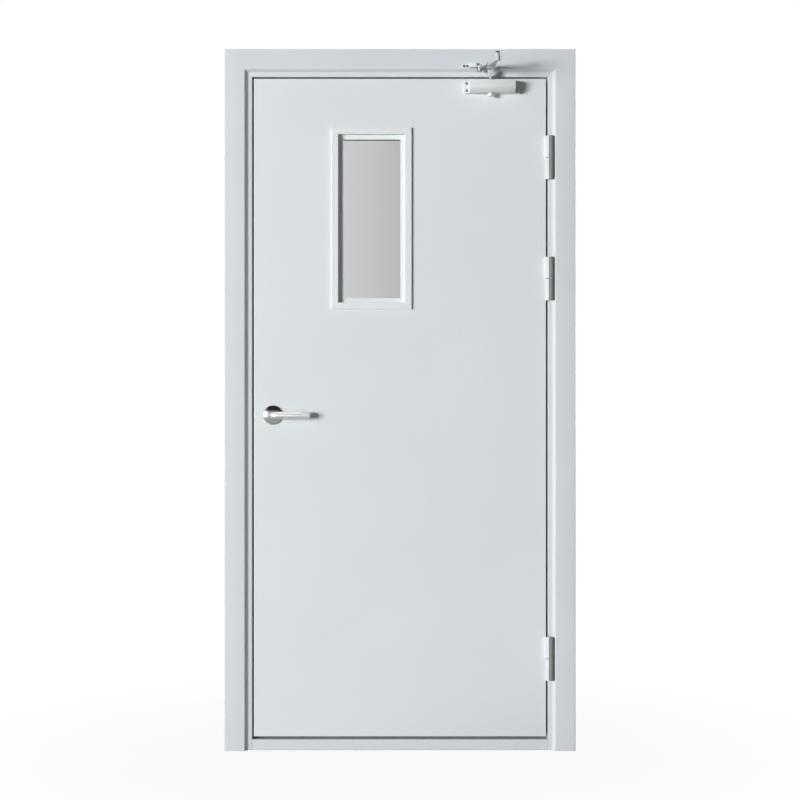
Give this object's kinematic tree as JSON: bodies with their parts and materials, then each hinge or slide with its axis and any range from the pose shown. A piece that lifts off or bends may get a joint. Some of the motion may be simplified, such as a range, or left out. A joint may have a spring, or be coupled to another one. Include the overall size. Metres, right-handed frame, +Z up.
{
  "type": "fire door with frame",
  "caption": "Steel fire door leaf hung in a folded steel frame, with a glazed vision panel, lever handles, a sprung latch and an overhead arm closer.",
  "frame": {"origin": "centre of the threshold's underside, midway through the frame's depth", "axes": "+X to the hinge side as the picture shows it, +Y into the wall away from the viewer, +Z up"},
  "size_m": [1.05, 0.3045, 2.1],
  "materials": {
    "frame_paint": "smooth pale grey paint",
    "leaf_paint": "smooth pale grey paint",
    "trim_paint": "smooth pale grey paint",
    "fire_glass": "clouded grey fire glass",
    "galvanised_steel": "galvanised sheet",
    "mineral_board": "light mineral board",
    "seal_rubber": "matte",
    "glazing_tape": "ceramic fibre tape",
    "hinge_steel": "satin plated steel",
    "washer_brass": "plain",
    "satin_steel": "satin stainless steel",
    "zinc_steel": "zinc plated steel",
    "closer_silver": "silver paint on cast aluminium"
  },
  "bodies": {
    "frame": {"hinge_jamb": "frame_paint", "lock_jamb": "frame_paint", "head": "frame_paint", "threshold": "frame_paint", "frame_seal": "seal_rubber", "strike_plate": "satin_steel", "strike_box": "galvanised_steel", "frame_screws": "zinc_steel", "hinge_frame_leaf_1": "hinge_steel", "hinge_frame_leaf_2": "hinge_steel", "hinge_frame_leaf_3": "hinge_steel", "hinge_pins": "hinge_steel", "hinge_washers": "washer_brass", "closer_shoe": "closer_silver", "shoe_screws": "zinc_steel", "shoe_pin": "zinc_steel"},
    "leaf": {"leaf_front_skin": "leaf_paint", "leaf_back_skin": "leaf_paint", "leaf_core": "mineral_board", "hinge_stile": "galvanised_steel", "lock_stile": "galvanised_steel", "top_rail": "galvanised_steel", "bottom_rail": "galvanised_steel", "window_liner": "galvanised_steel", "window_trim_front": "trim_paint", "window_trim_back": "trim_paint", "window_glass": "fire_glass", "window_tapes": "glazing_tape", "window_trim_screws": "zinc_steel", "hinge_door_leaf_1": "hinge_steel", "hinge_door_leaf_2": "hinge_steel", "hinge_door_leaf_3": "hinge_steel", "leaf_screws": "zinc_steel", "lock_case": "galvanised_steel", "lock_forend": "satin_steel", "rose_front": "satin_steel", "rose_back": "satin_steel", "rose_bolts": "zinc_steel", "closer_body": "closer_silver", "closer_cap_left": "closer_silver", "closer_cap_right": "closer_silver", "closer_bottom_cap": "closer_silver", "closer_bearings": "washer_brass", "closer_spring": "zinc_steel", "closer_screws": "zinc_steel", "closer_valve_screws": "zinc_steel", "latch_spring": "zinc_steel"},
    "levers": {"lever_front": "satin_steel", "lever_back": "satin_steel", "lever_spindle": "zinc_steel", "lock_follower": "zinc_steel"},
    "latch": {"latch_bolt": "zinc_steel"},
    "main_arm": {"closer_pinion": "zinc_steel", "closer_main_arm": "closer_silver", "arm_screw": "zinc_steel", "elbow_pin": "zinc_steel"},
    "piston": {"closer_piston": "zinc_steel"},
    "forearm": {"forearm_rod": "zinc_steel", "forearm_tube": "closer_silver", "forearm_locknut": "zinc_steel"}
  },
  "joints": [
    {"name": "leaf_swing", "type": "hinge", "parent": "frame", "child": "leaf", "pos_m": [0.453, -0.052, 1], "axis": [0, 0, 1], "range_deg": [0, 100], "stiffness_Nm_per_rad": 8, "springref_deg": -57.3},
    {"name": "closer_arm_turn", "type": "hinge", "parent": "leaf", "child": "main_arm", "pos_m": [0.2707, -0.067, 2], "axis": [0, 0, -1], "range_deg": [0, 205.4]},
    {"name": "closer_rack_slide", "type": "slide", "parent": "leaf", "child": "piston", "axis": [1, 0, 0], "range_m": [0, 0.0234], "deforming": ["closer_spring"]},
    {"name": "forearm_turn", "type": "hinge", "parent": "frame", "child": "forearm", "pos_m": [0.238, -0.071, 2.035], "axis": [0, 0, 1], "range_deg": [0, 23.7]},
    {"name": "lever_turn", "type": "hinge", "parent": "leaf", "child": "levers", "pos_m": [-0.3805, -0.018, 1.005], "axis": [0, 1, 0], "range_deg": [0, 45], "stiffness_Nm_per_rad": 2, "springref_deg": -20.05},
    {"name": "latch_slide", "type": "slide", "parent": "leaf", "child": "latch", "axis": [-1, 0, 0], "range_m": [0, 0.011], "stiffness_N_per_m": 150, "springref_m": 0.02, "deforming": ["latch_spring"]}
  ],
  "couplings": [
    {"joint": "closer_arm_turn", "follows": "leaf_swing", "ratio": 2.0533},
    {"joint": "closer_rack_slide", "follows": "leaf_swing", "m_per_rad": 0.013346},
    {"joint": "forearm_turn", "follows": "leaf_swing", "ratio": 0.23598}
  ]
}
